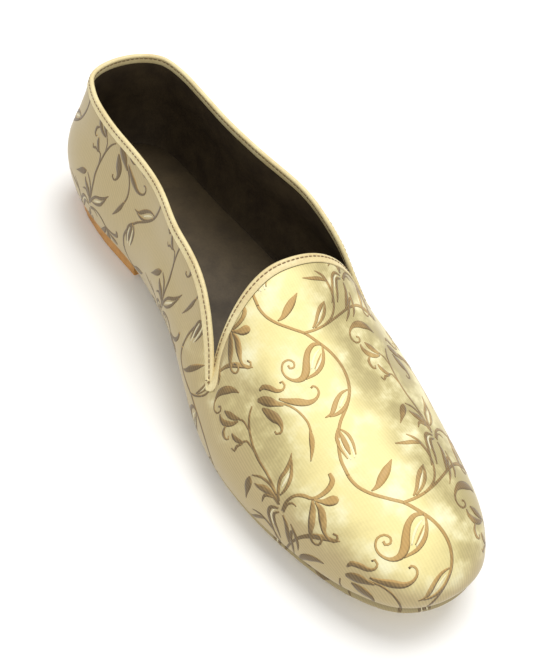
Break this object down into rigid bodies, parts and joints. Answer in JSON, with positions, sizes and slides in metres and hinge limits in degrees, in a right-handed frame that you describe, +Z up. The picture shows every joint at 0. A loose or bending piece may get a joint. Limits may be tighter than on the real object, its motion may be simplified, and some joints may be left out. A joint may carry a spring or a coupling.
{
  "type": "mojari slipper shoe",
  "caption": "Flat round-toed mojari slipper in floral brocade with a leather topline binding, leather sole and low stacked heel, left foot.",
  "frame": {"origin": "middle of the shoe's plan box, on the floor it stands on", "axes": "+Z up, +Y from toe to heel along the shoe, +X to the outer (little toe) side of this left shoe"},
  "size_m": [0.095, 0.275, 0.0722],
  "materials": {
    "brocade": "silk brocade, pale yellow ground with gold-brown vines, over thin leather",
    "binding": "folded beige leather strip, soft sheen",
    "insole": "dark olive-brown lining leather over board, matt",
    "outsole": "natural veg-tanned sole leather, cream",
    "heel": "tan heel leather, mottled and smooth"
  },
  "bodies": {
    "root": {"upper": "brocade", "topline_binding": "binding", "insole": "insole", "outsole": "outsole", "heel": "heel"}
  },
  "joints": []
}
